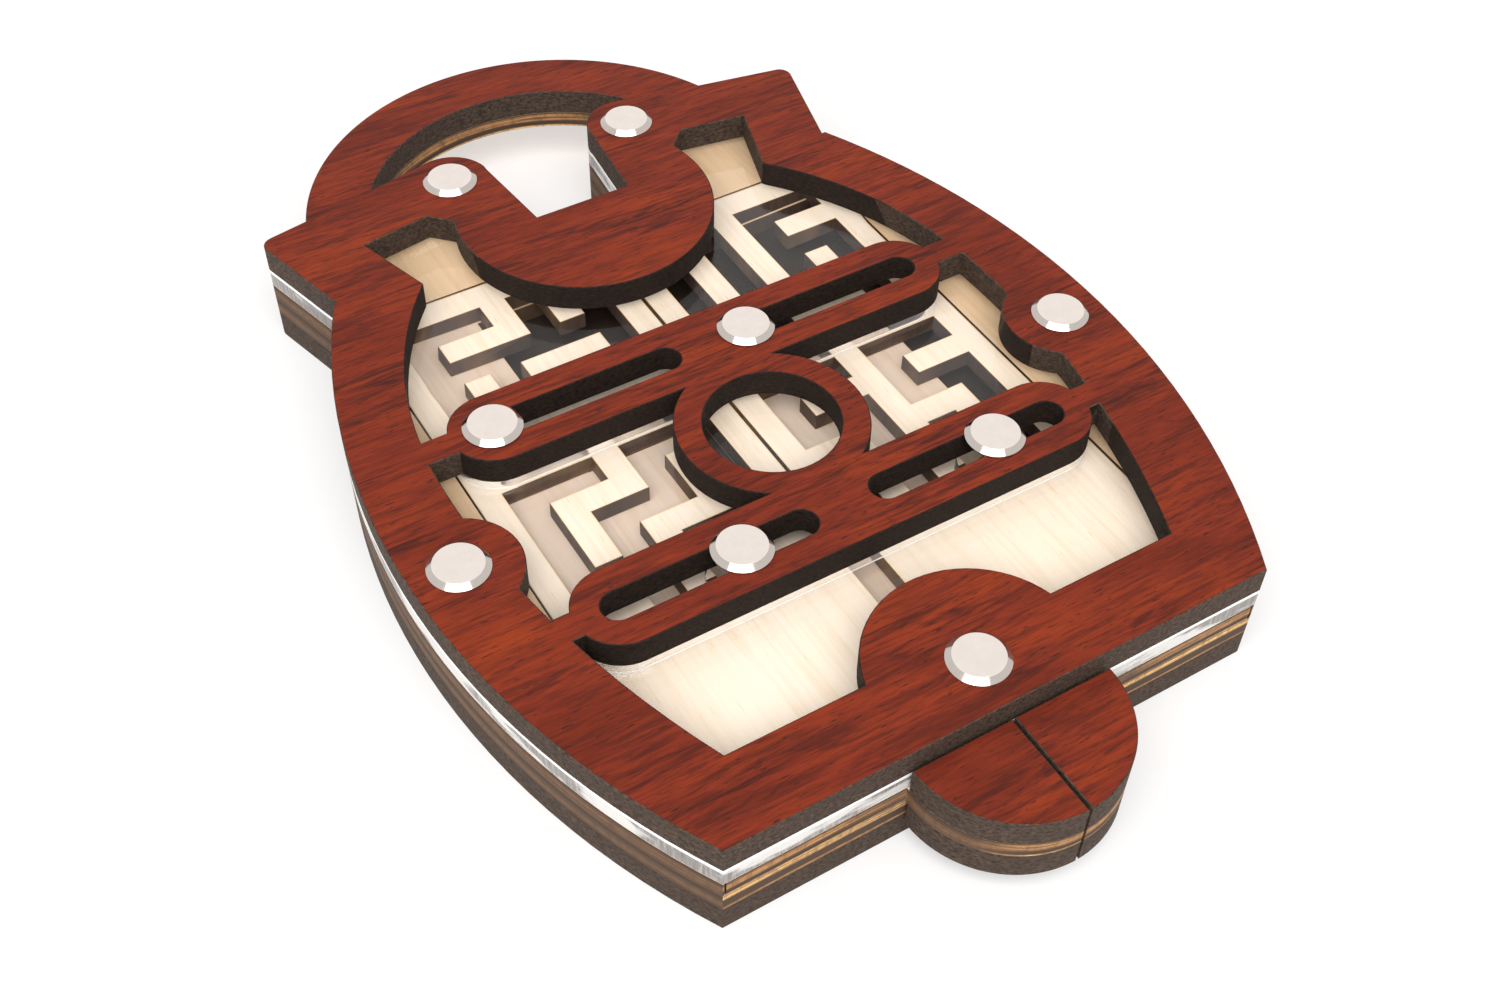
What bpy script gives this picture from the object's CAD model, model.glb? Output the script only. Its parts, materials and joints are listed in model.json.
"""Dressed model and studio stage for a padlock-shaped sliding puzzle box."""
import json
import math

import bmesh
import bpy
from mathutils import Matrix, Vector


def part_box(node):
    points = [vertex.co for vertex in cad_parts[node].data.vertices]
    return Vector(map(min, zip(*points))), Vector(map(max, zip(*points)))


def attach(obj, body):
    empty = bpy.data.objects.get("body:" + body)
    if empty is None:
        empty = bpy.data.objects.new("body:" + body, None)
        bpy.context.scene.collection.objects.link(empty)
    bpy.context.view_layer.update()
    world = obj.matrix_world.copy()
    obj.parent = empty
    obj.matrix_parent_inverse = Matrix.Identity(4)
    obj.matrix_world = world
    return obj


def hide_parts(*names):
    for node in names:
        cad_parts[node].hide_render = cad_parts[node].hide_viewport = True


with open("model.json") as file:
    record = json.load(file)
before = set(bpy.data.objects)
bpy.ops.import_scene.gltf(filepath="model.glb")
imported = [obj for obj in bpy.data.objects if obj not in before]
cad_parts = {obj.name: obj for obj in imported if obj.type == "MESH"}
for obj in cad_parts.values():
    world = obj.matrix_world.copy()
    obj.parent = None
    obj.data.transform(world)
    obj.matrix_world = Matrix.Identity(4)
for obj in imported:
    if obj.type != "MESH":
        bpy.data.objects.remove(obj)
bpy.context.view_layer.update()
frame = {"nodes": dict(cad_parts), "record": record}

bl_info = {
    "name": "Sliding Puzzle Padlock",
    "version": (1, 0, 0),
    "blender": (4, 5, 0),
    "location": "3D Viewport > Sidebar > Puzzle Lock",
    "description": "Dresses the sheets, studs and grips of a sliding puzzle padlock",
    "category": "Object",
}

NODE = frame["nodes"]
BODY_OF = {n: b for b, names in frame["record"]["behaviour"]["bodies"].items() for n in names}
MM = 0.001
EDGE_SLACK = 0.2 * MM
BAR_MARGIN = 3 * MM
CASE_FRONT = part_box("top_board")[0][1]
PLATE_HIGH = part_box("plate_right")[1]
BAR_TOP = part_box("foot_upper_right")[1][1] + BAR_MARGIN

JOIN_GAP = 2e-6         # vertices nearer than this are one
SLIVER = 1e-7           # edges shorter than this are dissolved
LEVEL_SLACK = 1e-6      # how far a face may lie from its sheet's upper or lower level
SHEET_SHARP = math.radians(28)
STUD_SHARP = math.radians(12)
STUD_SIDES = 96
STUD_LIP = 0.00004      # height of the fine chamfer round each head's flat
STUD_LIP_IN = 0.00012   # how far that chamfer runs in

CLEAR_TINT = (0.99, 0.99, 0.985)
CLEAR_GLOSS = (0.34, 0.34, 0.34, 1.0)
CLEAR_IOR = 1.49

FLOOR_HALF = 3.0
FLOOR_DROP = 0.00002
FLOOR_WARMTH = (1.0, 0.975, 0.955)
GLOW_NEAR, GLOW_FAR = 0.16, 0.40    # distances between which the floor turns white
KEY_SIZE = (1.25, 0.85)
KEY_PLACE = (-0.33, -0.44, 0.90)
KEY_AIM = (0, 0, 0.01)
WHITE = (1, 1, 1, 1)
SENSOR_WIDTH = 36.0
CAMERA_PLACE = Matrix((
    (0.854243, 0.373139, -0.361989, -0.096012),
    (-0.519578, 0.636236, -0.570300, -0.145908),
    (0.017509, 0.675257, 0.737375, 0.191555),
    (0, 0, 0, 1)))

MAZE_PLATES = ("plate_left", "plate_right")
CASE_PLY = ("floor_sheet", "lug_block", "shackle_core")
SIDE_FRAMES = ("frame_left", "frame_right")
VENEERED_BOARDS = ("top_board", "grip_top_left", "grip_top_right", "shackle_board")
PLAIN_BOARDS = ("base_board", "grip_back_left", "grip_back_right")
SLOT_PINS = ("upper_left", "upper_right", "lower_left", "lower_right")


# ---------------------------------------------------------------- settings

def tint(name, description, colour):
    return bpy.props.FloatVectorProperty(name=name, description=description, subtype="COLOR",
                                         size=3, min=0, max=1, default=colour)


class LockFinish(bpy.types.PropertyGroup):
    """Colours and finishes of the sheets and studs"""
    veneer: tint("Veneer", "Red-brown ground of the veneer", (0.202, 0.0275, 0.0112))
    veneer_warm: tint("Veneer Warm", "Orange patches of the veneer", (0.265, 0.0375, 0.0100))
    veneer_dark: tint("Veneer Dark", "Purple-brown streaks of the veneer", (0.058, 0.0120, 0.0085))
    veneer_pore: tint("Veneer Pores", "Short near-black pores", (0.020, 0.010, 0.009))
    board_core: tint("Board Core", "Dark fibreboard under the veneer", (0.070, 0.047, 0.034))
    board_cut: tint("Board Cut", "Burnt fibreboard inside the windows", (0.021, 0.0125, 0.0085))
    birch: tint("Birch", "Face of the maze plates", (0.95, 0.80, 0.655))
    birch_floor: tint("Floor Birch", "Duller face of the floor sheet", (0.74, 0.585, 0.475))
    birch_frame: tint("Frame Birch", "Golden face of the side frames", (0.80, 0.56, 0.35))
    lane_wall: tint("Lane Wall", "Grey-brown burnt wall of the maze lanes", (0.088, 0.052, 0.037))
    ply_gold: tint("Ply Gold", "Long-grain layers of the ply edges", (0.86, 0.51, 0.21))
    ply_brown: tint("Ply Brown", "Burnt layers of the ply edges", (0.075, 0.043, 0.025))
    nickel: tint("Nickel", "Polished metal of the pins and rivets", (0.90, 0.81, 0.74))


class LockEdges(bpy.types.PropertyGroup):
    """Widths of the worked edges"""
    board_bevel: bpy.props.FloatProperty(
        name="Board Bevel", description="Softened arris of the veneered boards",
        unit="LENGTH", min=0.00002, max=0.0005, default=0.00012)
    ply_bevel: bpy.props.FloatProperty(
        name="Ply Bevel", description="Softened arris of the ply sheets",
        unit="LENGTH", min=0.00002, max=0.0004, default=0.00005)
    scorch_width: bpy.props.FloatProperty(
        name="Scorch Width", description="Width of the burnt line along each cut",
        unit="LENGTH", min=0.0001, max=0.001, default=0.00022)
    clear_bevel: bpy.props.FloatProperty(
        name="Clear Sheet Bevel", description="Softened arris of the clear sheet",
        unit="LENGTH", min=0.00002, max=0.0004, default=0.00008)


class LockStuds(bpy.types.PropertyGroup):
    """Sizes of the pin and rivet heads"""
    head_radius: bpy.props.FloatProperty(
        name="Head Radius", description="Outer radius of every head",
        unit="LENGTH", min=0.002, max=0.006, default=0.00435)
    flat_radius: bpy.props.FloatProperty(
        name="Flat Radius", description="Radius of the flat on every head",
        unit="LENGTH", min=0.001, max=0.0058, default=0.00355)
    head_height: bpy.props.FloatProperty(
        name="Head Height", description="Height of every head",
        unit="LENGTH", min=0.0005, max=0.004, default=0.00095)
    rim_height: bpy.props.FloatProperty(
        name="Rim Height", description="Straight rim below the chamfer",
        unit="LENGTH", min=0.0001, max=0.002, default=0.0002)
    shank_radius: bpy.props.FloatProperty(
        name="Shank Radius", description="Radius of every shank",
        unit="LENGTH", min=0.0005, max=0.003, default=0.0016)


class LockStage(bpy.types.PropertyGroup):
    """Floor, lamps and camera"""
    floor_tone: bpy.props.FloatProperty(
        name="Floor Tone", description="Grey level of the pale floor",
        subtype="FACTOR", min=0, max=1, default=0.86)
    floor_glow: bpy.props.FloatProperty(
        name="Floor Glow", description="How far the floor is lifted toward white where it is seen",
        subtype="FACTOR", min=0, max=1, default=0.42)
    sky: bpy.props.FloatProperty(
        name="Sky Light", description="Strength of the even light all round",
        min=0, max=3, default=0.61)
    key: bpy.props.FloatProperty(
        name="Key Lamp", description="Power of the large soft lamp",
        unit="POWER", min=0, max=100, default=13.5)
    lens: bpy.props.FloatProperty(
        name="Lens", description="Focal length of the camera in millimetres",
        min=20, max=120, default=41.56)


# ---------------------------------------------------------------- materials

class Shader:
    """Small helper that keeps one material's node tree short to write."""

    def __init__(self, name):
        self.mat = bpy.data.materials.new(name)
        self.mat.use_nodes = True
        self.tree = self.mat.node_tree
        self.tree.nodes.clear()
        self.out = self.add("ShaderNodeOutputMaterial")
        self.bsdf = self.add("ShaderNodeBsdfPrincipled")
        self.join(self.bsdf.outputs[0], self.out.inputs["Surface"])
        self.place = self.add("ShaderNodeTexCoord")

    def add(self, kind, **settings):
        node = self.tree.nodes.new(kind)
        for key, value in settings.items():
            setattr(node, key, value)
        return node

    def join(self, a, b):
        self.tree.links.new(a, b)

    def feed(self, socket, value):
        if isinstance(value, bpy.types.NodeSocket):
            self.join(value, socket)
        elif hasattr(value, "__len__") and len(value) == 3 and socket.type == "RGBA":
            socket.default_value = (*value, 1.0)
        else:
            socket.default_value = value

    def stretched(self, x, y, z, move=(0, 0, 0)):
        node = self.add("ShaderNodeMapping")
        self.join(self.place.outputs["Object"], node.inputs["Vector"])
        node.inputs["Scale"].default_value = (x, y, z)
        node.inputs["Location"].default_value = move
        return node.outputs[0]

    def noise(self, vector, detail, rough, bend=0.0):
        node = self.add("ShaderNodeTexNoise")
        self.join(vector, node.inputs["Vector"])
        node.inputs["Scale"].default_value = 1.0
        node.inputs["Detail"].default_value = detail
        node.inputs["Roughness"].default_value = rough
        node.inputs["Distortion"].default_value = bend
        return node.outputs[0]

    def ramp(self, factor, *stops):
        node = self.add("ShaderNodeValToRGB")
        band = node.color_ramp
        while len(band.elements) < len(stops):
            band.elements.new(0.5)
        for element, (at, colour) in zip(band.elements, stops):
            element.position = at
            if not hasattr(colour, "__len__"):
                colour = (colour,) * 3
            element.color = (*colour, 1.0)
        self.join(factor, node.inputs[0])
        return node.outputs[0]

    def mix(self, factor, a, b, blend="MIX"):
        node = self.add("ShaderNodeMix", data_type="RGBA", blend_type=blend)
        self.feed(node.inputs[0], factor)
        self.feed(node.inputs[6], a)
        self.feed(node.inputs[7], b)
        return node.outputs[2]

    def math(self, kind, a, b=0.0):
        node = self.add("ShaderNodeMath", operation=kind)
        self.feed(node.inputs[0], a)
        self.feed(node.inputs[1], b)
        return node.outputs[0]

    def height(self):
        split = self.add("ShaderNodeSeparateXYZ")
        self.join(self.place.outputs["Object"], split.inputs[0])
        return split.outputs[2]

    def burn(self):
        return self.add("ShaderNodeAttribute", attribute_name="scorch").outputs["Fac"]

    def bump(self, height, strength, distance):
        node = self.add("ShaderNodeBump")
        node.inputs["Strength"].default_value = strength
        node.inputs["Distance"].default_value = distance
        self.join(height, node.inputs["Height"])
        self.join(node.outputs[0], self.bsdf.inputs["Normal"])

    def surface(self, **values):
        for key, value in values.items():
            self.feed(self.bsdf.inputs[key.replace("_", " ")], value)


def veneer_face(look):
    s = Shader("veneer_face")
    drift = s.noise(s.stretched(28, 95, 60), 3.0, 0.55, 0.5)
    tone = s.ramp(drift, (0.34, tuple(c * 0.76 for c in look.veneer)), (0.50, look.veneer),
                  (0.76, look.veneer_warm))
    streak = s.noise(s.stretched(95, 980, 200, (2, 4, 0)), 4.0, 0.64, 0.5)
    patch = s.noise(s.stretched(34, 130, 60, (5, 9, 0)), 2.0, 0.5)
    dark = s.math("MULTIPLY", s.ramp(streak, (0.44, 0.0), (0.62, 1.0)),
                  s.ramp(patch, (0.34, 0.35), (0.66, 1.0)))
    tone = s.mix(dark, tone, look.veneer_dark)
    glint = s.noise(s.stretched(210, 1500, 300, (1, 8, 0)), 3.0, 0.6)
    tone = s.mix(s.ramp(glint, (0.56, 0.0), (0.78, 0.42)), tone, look.veneer_warm)
    fine = s.noise(s.stretched(240, 3000, 300, (4, 2, 0)), 3.0, 0.6)
    tone = s.mix(s.ramp(fine, (0.30, 0.55), (0.52, 0.0)), tone, look.veneer_dark)
    pores = s.noise(s.stretched(420, 2600, 400, (3, 1, 0)), 2.0, 0.5)
    marks = s.ramp(pores, (0.29, 1.0), (0.36, 0.0))
    tone = s.mix(s.math("MULTIPLY", marks, 0.75), tone, look.veneer_pore)
    tone = s.mix(s.math("MULTIPLY", s.burn(), 0.35), tone, look.veneer_pore)
    s.surface(Base_Color=tone, Roughness=s.ramp(fine, (0.3, 0.52), (0.7, 0.40)),
              Specular_IOR_Level=0.09)
    s.bump(s.math("SUBTRACT", fine, marks), 0.18, 0.00005)
    return s.mat


def board_edge(name, core):
    s = Shader(name)
    fuzz = s.noise(s.stretched(1500, 1500, 3000), 4.0, 0.65)
    soft = s.noise(s.stretched(90, 90, 700), 2.0, 0.5)
    tone = s.ramp(fuzz, (0.34, tuple(c * 0.30 for c in core)), (0.52, core),
                  (0.72, tuple(c * 1.9 for c in core)))
    tone = s.mix(s.ramp(soft, (0.35, 0.0), (0.75, 0.4)), tone, tuple(c * 0.75 for c in core))
    s.surface(Base_Color=tone, Roughness=0.75,
              Specular_IOR_Level=0.2)
    s.bump(fuzz, 0.5, 0.00010)
    return s.mat


def board_face(look):
    s = Shader("board_face")
    fuzz = s.noise(s.stretched(900, 900, 900), 5.0, 0.7)
    cloud = s.noise(s.stretched(35, 35, 35), 3.0, 0.5)
    tone = s.ramp(fuzz, (0.30, tuple(c * 0.60 for c in look.board_cut)),
                  (0.70, tuple(c * 1.30 for c in look.board_cut)))
    tone = s.mix(s.ramp(cloud, (0.3, 0.0), (0.8, 0.4)), tone, look.board_core)
    tone = s.mix(s.math("MULTIPLY", s.burn(), 0.6), tone, look.veneer_pore)
    s.surface(Base_Color=tone, Roughness=0.6,
              Specular_IOR_Level=0.25)
    s.bump(fuzz, 0.15, 0.00005)
    return s.mat


def birch_face(name, ground, look):
    """Rotary-cut birch whose grain runs along the body."""
    s = Shader(name)
    grain = s.noise(s.stretched(900, 34, 200), 4.0, 0.6, 0.3)
    cloud = s.noise(s.stretched(60, 16, 40), 3.0, 0.5)
    pale = tuple(min(1.0, c * 1.07) for c in ground)
    deep = (ground[0] * 0.93, ground[1] * 0.87, ground[2] * 0.77)
    tone = s.ramp(grain, (0.28, deep), (0.50, ground), (0.80, pale))
    tone = s.mix(s.ramp(cloud, (0.35, 0.0), (0.8, 0.35)), tone, deep)
    flecks = s.noise(s.stretched(2300, 210, 400), 2.0, 0.5)
    tone = s.mix(s.ramp(flecks, (0.24, 0.6), (0.33, 0.0)), tone, look.ply_gold)
    tone = s.mix(s.math("MULTIPLY", s.burn(), 0.75), tone, look.ply_gold)
    s.surface(Base_Color=tone, Roughness=0.6,
              Specular_IOR_Level=0.25)
    s.bump(grain, 0.10, 0.00004)
    return s.mat


def lane_wall(look):
    """Laser-burnt wall of a maze lane, duller toward its foot."""
    s = Shader("lane_wall")
    char = s.noise(s.stretched(1300, 1300, 160), 4.0, 0.6)
    wide = s.noise(s.stretched(130, 130, 60), 2.0, 0.5)
    tone = s.ramp(char, (0.30, tuple(c * 0.70 for c in look.lane_wall)), (0.55, look.lane_wall),
                  (0.80, tuple(c * 1.25 for c in look.lane_wall)))
    brown = s.mix(0.5, look.ply_gold, look.ply_brown)
    tone = s.mix(s.ramp(wide, (0.50, 0.0), (0.80, 0.40)), tone, brown)
    s.surface(Base_Color=tone, Roughness=0.7)
    s.bump(char, 0.25, 0.00006)
    return s.mat


def ply_edge(look, bottom, top):
    """Outer edge of the two ply sheets: gold where the grain runs along it, else brown."""
    s = Shader("ply_edge")
    level = s.math("DIVIDE", s.math("SUBTRACT", s.height(), bottom), top - bottom)
    wave = s.noise(s.stretched(70, 70, 260), 3.0, 0.6)
    level = s.math("ADD", level, s.math("MULTIPLY", s.math("SUBTRACT", wave, 0.5), 0.07))
    gold, dark = look.ply_gold, look.ply_brown
    tan = (gold[0] * 0.62, gold[1] * 0.52, gold[2] * 0.50)
    soot = tuple(c * 0.55 for c in dark)
    along = s.ramp(level, (0.0, dark), (0.07, tan), (0.12, dark), (0.34, dark), (0.41, gold),
                   (0.55, gold), (0.60, soot), (0.70, dark), (0.76, tan), (0.92, tan),
                   (0.98, soot))
    rust = (gold[0] * 0.23, gold[1] * 0.20, gold[2] * 0.24)
    bark = tuple(c * 1.5 for c in dark)
    across = s.ramp(level, (0.0, soot), (0.10, bark), (0.20, rust), (0.34, bark), (0.48, soot),
                    (0.54, bark), (0.70, rust), (0.80, rust), (0.88, bark), (0.98, soot))
    facing = s.add("ShaderNodeSeparateXYZ")
    s.join(s.place.outputs["Normal"], facing.inputs[0])
    front = s.ramp(s.math("ABSOLUTE", facing.outputs[1]), (0.62, 0.0), (0.9, 1.0))
    tone = s.mix(front, across, along)
    lines = s.noise(s.stretched(45, 45, 4200), 3.0, 0.6)
    tone = s.mix(s.ramp(lines, (0.38, 0.8), (0.54, 0.0)), tone, dark)
    char = s.noise(s.stretched(900, 900, 500), 4.0, 0.65)
    tone = s.mix(s.ramp(char, (0.30, 0.6), (0.56, 0.0)), tone, dark)
    s.surface(Base_Color=tone, Roughness=0.7,
              Specular_IOR_Level=0.3)
    s.bump(s.math("ADD", lines, char), 0.3, 0.00006)
    return s.mat


def clear_shader(name, smooth, rough):
    """Clear sheet; light that falls through it is let straight past."""
    s = Shader(name)
    scuff = s.noise(s.stretched(35, 35, 35), 3.0, 0.5)
    s.surface(Base_Color=CLEAR_TINT, Roughness=s.ramp(scuff, (0.4, smooth), (0.8, rough)))
    s.bsdf.inputs["Transmission Weight"].default_value = 1.0
    s.bsdf.inputs["IOR"].default_value = CLEAR_IOR
    s.bsdf.inputs["Specular Tint"].default_value = CLEAR_GLOSS
    through = s.add("ShaderNodeBsdfTransparent")
    through.inputs[0].default_value = (*CLEAR_TINT, 1.0)
    ray = s.add("ShaderNodeLightPath")
    light = s.math("MAXIMUM", ray.outputs["Is Shadow Ray"], ray.outputs["Is Diffuse Ray"])
    both = s.add("ShaderNodeMixShader")
    s.join(light, both.inputs[0])
    s.join(s.bsdf.outputs[0], both.inputs[1])
    s.join(through.outputs[0], both.inputs[2])
    s.join(both.outputs[0], s.out.inputs["Surface"])
    return s


def clear_edge(bottom, top):
    """Cut edge of the clear sheet: silvery, with upright streaks and a bright upper arris."""
    s = Shader("clear_edge")
    level = s.math("DIVIDE", s.math("SUBTRACT", s.height(), bottom), top - bottom)
    streak = s.noise(s.stretched(2600, 2600, 260), 4.0, 0.65)
    broad = s.noise(s.stretched(75, 75, 330), 3.0, 0.6)
    tone = s.ramp(streak, (0.30, (0.15, 0.14, 0.13)), (0.52, (0.26, 0.24, 0.225)),
                  (0.74, (0.46, 0.43, 0.41)))
    tone = s.mix(s.ramp(broad, (0.48, 0.0), (0.58, 0.9)), tone, (0.78, 0.76, 0.73))
    arris = s.ramp(level, (0.0, 0.55), (0.05, 0.0), (0.80, 0.0), (0.86, 1.0))
    tone = s.mix(arris, tone, (0.96, 0.94, 0.91))
    s.surface(Base_Color=tone, Roughness=0.25)
    s.bump(streak, 0.15, 0.00003)
    return s.mat


def bright_cut(bottom, top):
    """Cut wall inside the clear sheet: clear, with white arrises and a faint haze."""
    s = clear_shader("bright_cut", 0.02, 0.05)
    level = s.math("DIVIDE", s.math("SUBTRACT", s.height(), bottom), top - bottom)
    wave = s.noise(s.stretched(60, 60, 60), 2.0, 0.5)
    haze = s.ramp(wave, (0.40, 0.10), (0.65, 0.42))
    white = s.ramp(level, (0.0, 0.9), (0.09, 0.9), (0.13, 0.0), (0.84, 0.0), (0.90, 0.9))
    s.surface(Base_Color=(0.98, 0.97, 0.95),
              Transmission_Weight=s.math("SUBTRACT", 1.0, s.math("MAXIMUM", haze, white)))
    return s.mat


def nickel_material(name, look, low, high, lift=1.0):
    s = Shader(name)
    smear = s.noise(s.stretched(500, 500, 500), 3.0, 0.6)
    scratch = s.noise(s.stretched(300, 2600, 900), 2.0, 0.5)
    tone = s.ramp(smear, (0.3, tuple(c * lift * 0.95 for c in look.nickel)),
                  (0.7, tuple(c * lift for c in look.nickel)))
    s.surface(Base_Color=tone, Roughness=s.ramp(smear, (0.35, low), (0.75, high)))
    s.bsdf.inputs["Metallic"].default_value = 1.0
    s.bump(scratch, 0.02, 0.00002)
    return s.mat


FINISH = {}


# ---------------------------------------------------------------- shapes

def merged_copy(node):
    """A CAD node's mesh with its loose triangles joined."""
    bm = bmesh.new()
    bm.from_mesh(NODE[node].data)
    bmesh.ops.remove_doubles(bm, verts=bm.verts, dist=JOIN_GAP)
    bmesh.ops.dissolve_degenerate(bm, dist=SLIVER, edges=bm.edges)
    return bm


def solid_centres(node):
    """Middle, in plan, of each separate solid of a node."""
    bm = merged_copy(node)
    left, centres = set(bm.verts), []
    while left:
        solid, edge = set(), [left.pop()]
        while edge:
            vert = edge.pop()
            solid.add(vert)
            near = {e.other_vert(vert) for e in vert.link_edges} & left
            left -= near
            edge.extend(near)
        xs, ys = [v.co.x for v in solid], [v.co.y for v in solid]
        centres.append(((min(xs) + max(xs)) / 2, (min(ys) + max(ys)) / 2))
    bm.free()
    return sorted(centres)


def sheet_from_node(node, bevel=0.0, rim=0.0, outside=None):
    """A flat sheet with softened arrises and a burnt rim in its 'scorch' layer.

    Material slots: 0 walls, 1 upper face, 2 lower face, 3 walls for which outside() is true.
    """
    bm = merged_copy(node)
    burn = bm.verts.layers.float.new("scorch")
    low = min(v.co.z for v in bm.verts)
    high = max(v.co.z for v in bm.verts)
    for v in bm.verts:
        v[burn] = 1.0 if rim else 0.0
    for level, way in ((high, 1), (low, -1)):
        region = [f for f in bm.faces if f.normal.z * way > 0.99
                  and abs(f.calc_center_median().z - level) < LEVEL_SLACK]
        if bevel:
            ring = bmesh.ops.inset_region(bm, faces=region, thickness=bevel, depth=0,
                                          use_boundary=True, use_even_offset=True)["faces"]
            inside = {v for f in region for v in f.verts}
            for v in {v for f in ring for v in f.verts} - inside:
                v.co.z -= way * bevel
        if rim:
            ring = bmesh.ops.inset_region(bm, faces=region, thickness=rim, depth=0,
                                          use_boundary=True, use_even_offset=True)["faces"]
            inside = {v for f in region for v in f.verts}
            for v in {v for f in ring for v in f.verts} - inside:
                v[burn] = 1.0
            for v in inside:
                v[burn] = 0.0
    bm.normal_update()
    for f in bm.faces:
        flat = abs(f.normal.z) > 0.95
        f.smooth = not flat
        if flat:
            f.material_index = 1 if f.normal.z > 0 else 2
        else:
            f.material_index = 3 if outside and outside(f.calc_center_median()) else 0
    mesh = bpy.data.meshes.new(node + "_dressed")
    bm.to_mesh(mesh)
    bm.free()
    mesh.set_sharp_from_angle(angle=SHEET_SHARP)
    return mesh


def place_piece(name, mesh, materials, body, *nodes):
    piece = bpy.data.objects.new(name, mesh)
    bpy.context.scene.collection.objects.link(piece)
    for slot, material in enumerate(materials):
        if slot < len(mesh.materials):
            mesh.materials[slot] = material
        else:
            mesh.materials.append(material)
    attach(piece, body)
    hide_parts(*nodes)
    return piece


def stud_tree():
    """Geometry nodes: a chamfered, shanked stud on every point of the input mesh."""
    tree = bpy.data.node_groups.new("Chamfered Studs", "GeometryNodeTree")
    face = tree.interface
    sockets = {"Points": face.new_socket("Points", in_out="INPUT",
                                         socket_type="NodeSocketGeometry")}
    for name in ("Head Radius", "Flat Radius", "Head Height", "Rim Height",
                 "Shank Radius", "Shank Length"):
        sockets[name] = face.new_socket(name, in_out="INPUT", socket_type="NodeSocketFloat")
    for name in ("Metal", "Top Metal"):
        sockets[name] = face.new_socket(name, in_out="INPUT", socket_type="NodeSocketMaterial")
    face.new_socket("Studs", in_out="OUTPUT", socket_type="NodeSocketGeometry")
    new, link = tree.nodes.new, tree.links.new
    given = new("NodeGroupInput").outputs

    def calc(kind, a, b):
        node = new("ShaderNodeMath")
        node.operation = kind
        for socket, value in zip(node.inputs, (a, b)):
            if isinstance(value, bpy.types.NodeSocket):
                link(value, socket)
            else:
                socket.default_value = value
        return node.outputs[0]

    def finish(shape, metal):
        node = new("GeometryNodeSetMaterial")
        link(shape, node.inputs["Geometry"])
        link(given[metal], node.inputs["Material"])
        return node.outputs[0]

    def solid(kind, lift, **sizes):
        node = new(kind)
        node.inputs["Vertices"].default_value = STUD_SIDES
        for key, value in sizes.items():
            socket = node.inputs[key.replace("_", " ")]
            if isinstance(value, bpy.types.NodeSocket):
                link(value, socket)
            else:
                socket.default_value = value
        move = new("GeometryNodeTransform")
        link(node.outputs["Mesh"], move.inputs["Geometry"])
        up = new("ShaderNodeCombineXYZ")
        link(lift, up.inputs["Z"])
        link(up.outputs[0], move.inputs["Translation"])
        return move.outputs[0]

    rim, full = given["Rim Height"], given["Head Height"]
    join = new("GeometryNodeJoinGeometry")
    shank = given["Shank Length"]
    parts = [
        solid("GeometryNodeMeshCylinder", calc("MULTIPLY", shank, -0.5),
              Radius=given["Shank Radius"], Depth=shank),
        solid("GeometryNodeMeshCylinder", calc("MULTIPLY", rim, 0.5),
              Radius=given["Head Radius"], Depth=rim),
        solid("GeometryNodeMeshCone", rim, Radius_Bottom=given["Head Radius"],
              Radius_Top=given["Flat Radius"],
              Depth=calc("SUBTRACT", calc("SUBTRACT", full, rim), STUD_LIP)),
        solid("GeometryNodeMeshCone", calc("SUBTRACT", full, STUD_LIP),
              Radius_Bottom=given["Flat Radius"],
              Radius_Top=calc("SUBTRACT", given["Flat Radius"], STUD_LIP_IN),
              Depth=STUD_LIP),
    ]
    for part, metal in zip(parts, ("Metal", "Metal", "Metal", "Top Metal")):
        link(finish(part, metal), join.inputs[0])
    to_points = new("GeometryNodeMeshToPoints")
    link(given["Points"], to_points.inputs[0])
    spread = new("GeometryNodeInstanceOnPoints")
    link(to_points.outputs[0], spread.inputs["Points"])
    link(join.outputs[0], spread.inputs["Instance"])
    real = new("GeometryNodeRealizeInstances")
    link(spread.outputs[0], real.inputs[0])
    link(real.outputs[0], new("NodeGroupOutput").inputs[0])
    return tree, sockets


def studs(name, spots, under_head, foot, body, *nodes):
    """Studs with their heads' undersides at under_head and shanks down to foot (metres)."""
    sizes = bpy.context.scene.lock_studs
    tree, sockets = stud_tree()
    seed = bpy.data.meshes.new(name + "_points")
    seed.from_pydata([(x, y, under_head) for x, y in spots], [], [])
    holder = bpy.data.objects.new(name + "_points", seed)
    bpy.context.scene.collection.objects.link(holder)
    mod = holder.modifiers.new("Studs", "NODES")
    mod.node_group = tree
    values = {"Head Radius": sizes.head_radius, "Flat Radius": sizes.flat_radius,
              "Head Height": sizes.head_height, "Rim Height": sizes.rim_height,
              "Shank Radius": sizes.shank_radius, "Shank Length": under_head - foot,
              "Metal": FINISH["nickel"], "Top Metal": FINISH["nickel_top"]}
    for key, value in values.items():
        mod[sockets[key].identifier] = value
    bpy.context.view_layer.update()
    graph = bpy.context.evaluated_depsgraph_get()
    mesh = bpy.data.meshes.new_from_object(holder.evaluated_get(graph))
    holder.modifiers.clear()
    bpy.data.objects.remove(holder)
    mesh.shade_smooth()
    mesh.set_sharp_from_angle(angle=STUD_SHARP)
    return place_piece(name, mesh, [FINISH["nickel"]], body, *nodes)


def on_outline(point):
    """True where a wall lies on the body's outline, the grips or the shackle."""
    front, end = CASE_FRONT + EDGE_SLACK, PLATE_HIGH[1] + EDGE_SLACK
    return point.y < front or point.y > end or abs(point.x) > PLATE_HIGH[0] + 2 * EDGE_SLACK


def under_a_bar(point):
    """True on the clear sheet's walls beside the slot pins, inside its outline."""
    return abs(point.x) < PLATE_HIGH[0] and CASE_FRONT + EDGE_SLACK < point.y < BAR_TOP


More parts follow.
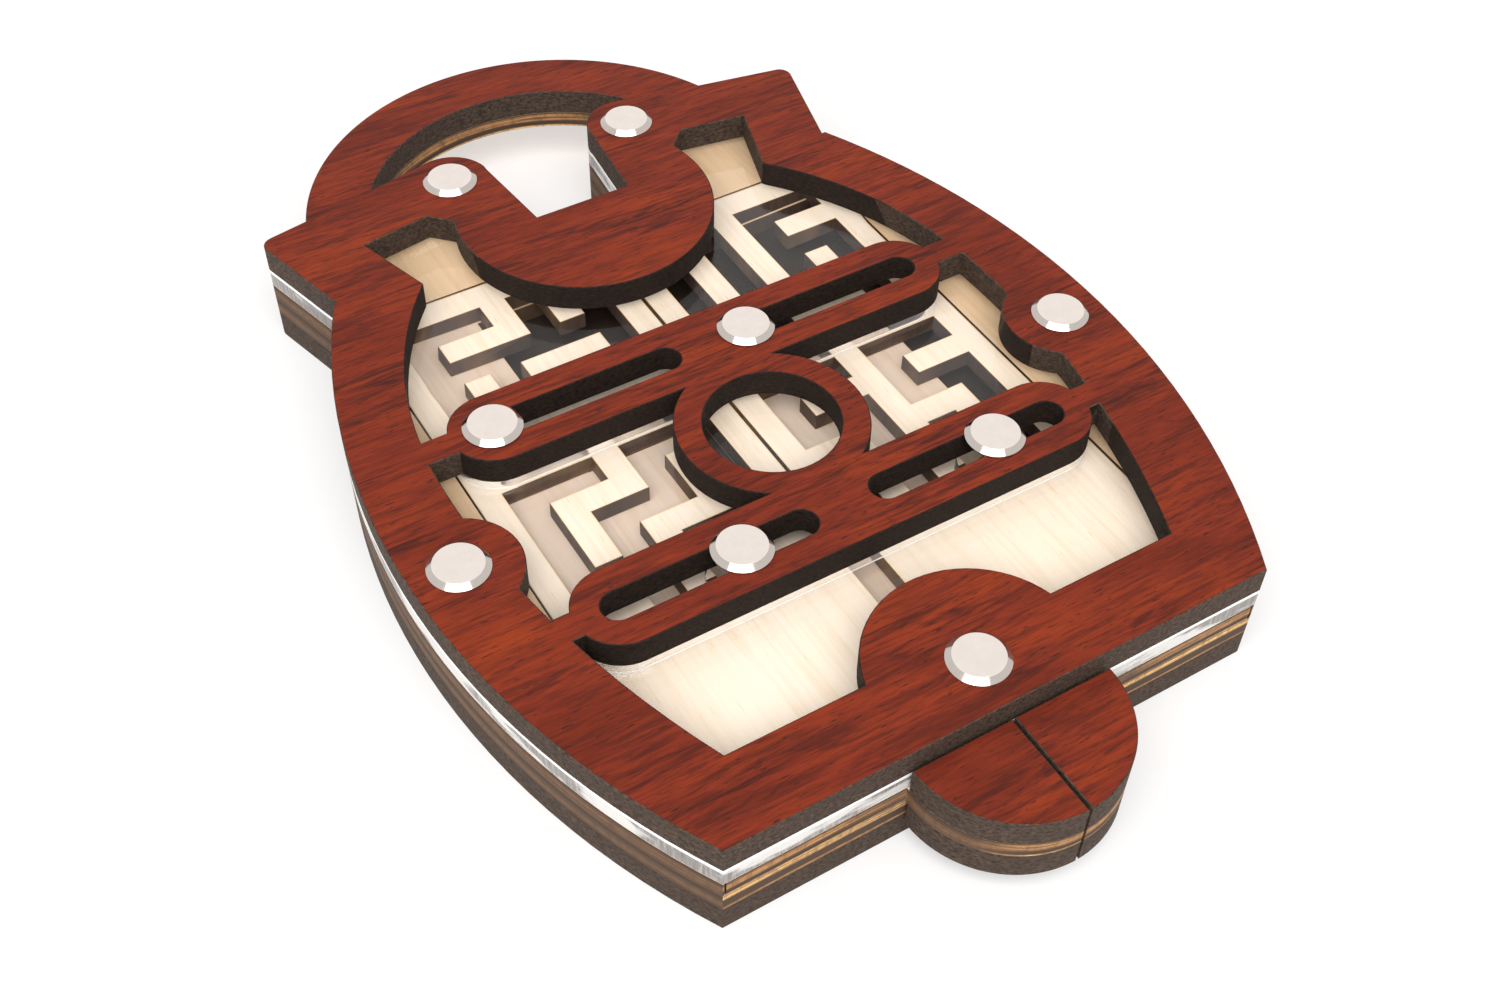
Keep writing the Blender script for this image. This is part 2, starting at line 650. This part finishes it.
# ---------------------------------------------------------------- operators

class PUZZLE_OT_finishes(bpy.types.Operator):
    """Make the materials of the wood sheets, the clear sheet and the metal"""
    bl_idname = "puzzle.finishes"
    bl_label = "Finishes"

    def execute(self, context):
        look = context.scene.lock_finish
        floor, frame_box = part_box("floor_sheet"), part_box("frame_left")
        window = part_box("window_sheet")
        FINISH["veneer"] = veneer_face(look)
        FINISH["board_edge"] = board_edge("board_edge", look.board_core)
        FINISH["board_cut"] = board_edge("board_cut", look.board_cut)
        FINISH["board_face"] = board_face(look)
        FINISH["birch"] = birch_face("birch_plate", look.birch, look)
        FINISH["birch_floor"] = birch_face("birch_floor", look.birch_floor, look)
        FINISH["birch_frame"] = birch_face("birch_frame", look.birch_frame, look)
        FINISH["lane_wall"] = lane_wall(look)
        FINISH["ply_edge"] = ply_edge(look, floor[0][2], frame_box[1][2])
        FINISH["clear"] = clear_shader("clear_face", 0.0, 0.02).mat
        FINISH["clear_cut"] = clear_shader("clear_cut", 0.06, 0.16).mat
        FINISH["clear_edge"] = clear_edge(window[0][2], window[1][2])
        FINISH["bright_cut"] = bright_cut(window[0][2], window[1][2])
        FINISH["nickel"] = nickel_material("nickel_polished", look, 0.08, 0.14, 0.64)
        FINISH["nickel_top"] = nickel_material("nickel_satin", look, 0.14, 0.22, 0.98)
        return {"FINISHED"}


class PUZZLE_OT_birch_sheets(bpy.types.Operator):
    """Dress the floor sheet, side frames, lug block, maze plates and shackle core"""
    bl_idname = "puzzle.birch_sheets"
    bl_label = "Birch Sheets"

    def execute(self, context):
        edges = context.scene.lock_edges
        faces = {"floor_sheet": "birch_floor", "lug_block": "birch_frame",
                 "shackle_core": "birch_frame"}
        for node in MAZE_PLATES + CASE_PLY:
            mesh = sheet_from_node(node, edges.ply_bevel, edges.scorch_width, on_outline)
            face = FINISH[faces.get(node, "birch")]
            place_piece(node + "_ply", mesh, [FINISH["lane_wall"], face, face, FINISH["ply_edge"]],
                        BODY_OF[node], node)
        for node in SIDE_FRAMES:
            face = FINISH["birch_frame"]
            place_piece(node + "_ply", sheet_from_node(node, outside=on_outline),
                        [FINISH["lane_wall"], face, face, FINISH["ply_edge"]], BODY_OF[node], node)
        return {"FINISHED"}


class PUZZLE_OT_boards(bpy.types.Operator):
    """Dress the veneered top board, grips and shackle, and the plain backs"""
    bl_idname = "puzzle.boards"
    bl_label = "Boards"

    def execute(self, context):
        edges = context.scene.lock_edges
        for node in VENEERED_BOARDS + PLAIN_BOARDS:
            mesh = sheet_from_node(node, edges.board_bevel, edges.board_bevel, on_outline)
            top = FINISH["veneer" if node in VENEERED_BOARDS else "board_face"]
            place_piece(node + "_wood", mesh, [FINISH["board_cut"], top, FINISH["board_face"],
                                               FINISH["board_edge"]], BODY_OF[node], node)
        return {"FINISHED"}


class PUZZLE_OT_clear_sheet(bpy.types.Operator):
    """Dress the clear sheet under the windows and the clear feet of the slot pins"""
    bl_idname = "puzzle.clear_sheet"
    bl_label = "Clear Sheet"

    def execute(self, context):
        edges = context.scene.lock_edges
        for node in ("window_sheet",) + tuple("foot_" + place for place in SLOT_PINS):
            mesh = sheet_from_node(node, edges.clear_bevel, outside=under_a_bar)
            cut = FINISH["bright_cut" if node == "window_sheet" else "clear_cut"]
            walls = (FINISH["clear_edge"], FINISH["clear"], FINISH["clear"], cut)
            place_piece(node + "_clear", mesh, walls, BODY_OF[node], node)
        return {"FINISHED"}


class PUZZLE_OT_rivets(bpy.types.Operator):
    """Make the five rivets and finish their backs"""
    bl_idname = "puzzle.rivets"
    bl_label = "Rivets"

    def execute(self, context):
        low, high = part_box("rivets")
        top = high[2] - context.scene.lock_studs.head_height
        studs("rivets_turned", solid_centres("rivets"), top, low[2], "case", "rivets")
        back = NODE["rivet_backs"]
        back.data.materials.clear()
        back.data.materials.append(FINISH["nickel"])
        return {"FINISHED"}


class PUZZLE_OT_slot_pins(bpy.types.Operator):
    """Make the four slot pins"""
    bl_idname = "puzzle.slot_pins"
    bl_label = "Slot Pins"

    def execute(self, context):
        for place in SLOT_PINS:
            node = "pin_" + place
            low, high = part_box(node)
            top = high[2] - context.scene.lock_studs.head_height
            studs(node + "_turned", solid_centres(node), top, low[2], BODY_OF[node], node)
        return {"FINISHED"}


def seen_ray(tree):
    """1 on the rays that see the surroundings: from the camera, off gloss or through glass."""
    ray = tree.nodes.new("ShaderNodeLightPath")
    total = ray.outputs["Is Camera Ray"]
    for name in ("Is Glossy Ray", "Is Transmission Ray"):
        most = tree.nodes.new("ShaderNodeMath")
        most.operation = "MAXIMUM"
        tree.links.new(total, most.inputs[0])
        tree.links.new(ray.outputs[name], most.inputs[1])
        total = most.outputs[0]
    return total


class PUZZLE_OT_stage(bpy.types.Operator):
    """Set up the pale floor, the lamps, the world and the camera"""
    bl_idname = "puzzle.stage"
    bl_label = "Stage"

    def execute(self, context):
        stage = context.scene.lock_stage
        mesh = bpy.data.meshes.new("floor")
        corner = ((-1, -1), (1, -1), (1, 1), (-1, 1))
        mesh.from_pydata([(x * FLOOR_HALF, y * FLOOR_HALF, 0) for x, y in corner],
                         [], [(0, 1, 2, 3)])
        floor = bpy.data.objects.new("floor", mesh)
        floor.location.z = -FLOOR_DROP
        context.scene.collection.objects.link(floor)
        s = Shader("pale_floor")
        warm = tuple(stage.floor_tone * c for c in FLOOR_WARMTH)
        s.surface(Base_Color=warm, Roughness=0.9)
        s.bsdf.inputs["Specular IOR Level"].default_value = 0.0
        glow = s.add("ShaderNodeEmission")
        lift = s.add("ShaderNodeMixShader")
        reach = s.add("ShaderNodeVectorMath", operation="LENGTH")
        s.join(s.place.outputs["Object"], reach.inputs[0])
        away = s.ramp(reach.outputs["Value"], (GLOW_NEAR, stage.floor_glow),
                      (GLOW_FAR, 1.0))
        s.join(s.math("MULTIPLY", seen_ray(s.tree), away), lift.inputs[0])
        s.join(s.bsdf.outputs[0], lift.inputs[1])
        s.join(glow.outputs[0], lift.inputs[2])
        s.join(lift.outputs[0], s.out.inputs["Surface"])
        mesh.materials.append(s.mat)

        lamp = bpy.data.lights.new("key", "AREA")
        lamp.shape = "RECTANGLE"
        lamp.size, lamp.size_y = KEY_SIZE
        lamp.energy = stage.key
        key = bpy.data.objects.new("key", lamp)
        key.location = KEY_PLACE
        aim = Vector(KEY_AIM) - key.location
        key.rotation_euler = aim.to_track_quat("-Z", "Y").to_euler()
        context.scene.collection.objects.link(key)

        world = bpy.data.worlds.new("even_light")
        world.use_nodes = True
        tree = world.node_tree
        tree.nodes.clear()
        out = tree.nodes.new("ShaderNodeOutputWorld")
        soft = tree.nodes.new("ShaderNodeBackground")
        soft.inputs["Color"].default_value = WHITE
        soft.inputs["Strength"].default_value = stage.sky
        plain = tree.nodes.new("ShaderNodeBackground")
        plain.inputs["Color"].default_value = WHITE
        plain.inputs["Strength"].default_value = 1.0
        pick = tree.nodes.new("ShaderNodeMixShader")
        tree.links.new(seen_ray(tree), pick.inputs[0])
        tree.links.new(soft.outputs[0], pick.inputs[1])
        tree.links.new(plain.outputs[0], pick.inputs[2])
        tree.links.new(pick.outputs[0], out.inputs[0])
        context.scene.world = world
        context.scene.view_settings.view_transform = "Standard"

        cam = bpy.data.cameras.new("camera")
        cam.sensor_width = SENSOR_WIDTH
        cam.sensor_fit = "HORIZONTAL"
        cam.lens = stage.lens
        cam.clip_start = 0.01
        eye = bpy.data.objects.new("camera", cam)
        eye.matrix_world = CAMERA_PLACE
        context.scene.collection.objects.link(eye)
        context.scene.camera = eye
        return {"FINISHED"}


class PUZZLE_PT_panel(bpy.types.Panel):
    """Sizes, colours and build steps of the puzzle lock"""
    bl_label = "Puzzle Lock"
    bl_idname = "PUZZLE_PT_panel"
    bl_space_type = "VIEW_3D"
    bl_region_type = "UI"
    bl_category = "Puzzle Lock"

    def draw(self, context):
        scene = context.scene
        for group in (scene.lock_finish, scene.lock_edges, scene.lock_studs, scene.lock_stage):
            box = self.layout.box()
            for key in group.__annotations__:
                box.prop(group, key)
        for step in STEPS:
            self.layout.operator(step.bl_idname)


STEPS = (PUZZLE_OT_stage, PUZZLE_OT_finishes, PUZZLE_OT_birch_sheets, PUZZLE_OT_boards,
         PUZZLE_OT_clear_sheet, PUZZLE_OT_rivets, PUZZLE_OT_slot_pins)
GROUPS = {"lock_finish": LockFinish, "lock_edges": LockEdges,
          "lock_studs": LockStuds, "lock_stage": LockStage}


def register():
    for group in GROUPS.values():
        bpy.utils.register_class(group)
    for step in STEPS + (PUZZLE_PT_panel,):
        bpy.utils.register_class(step)
    for name, group in GROUPS.items():
        setattr(bpy.types.Scene, name, bpy.props.PointerProperty(type=group))


def unregister():
    for name in GROUPS:
        delattr(bpy.types.Scene, name)
    for step in STEPS + (PUZZLE_PT_panel,):
        bpy.utils.unregister_class(step)
    for group in GROUPS.values():
        bpy.utils.unregister_class(group)


def main():
    register()
    bpy.ops.puzzle.stage()
    bpy.ops.puzzle.finishes()
    bpy.ops.puzzle.birch_sheets()
    bpy.ops.puzzle.boards()
    bpy.ops.puzzle.clear_sheet()
    bpy.ops.puzzle.rivets()
    bpy.ops.puzzle.slot_pins()
    bpy.context.view_layer.update()


if __name__ == "__main__":
    main()
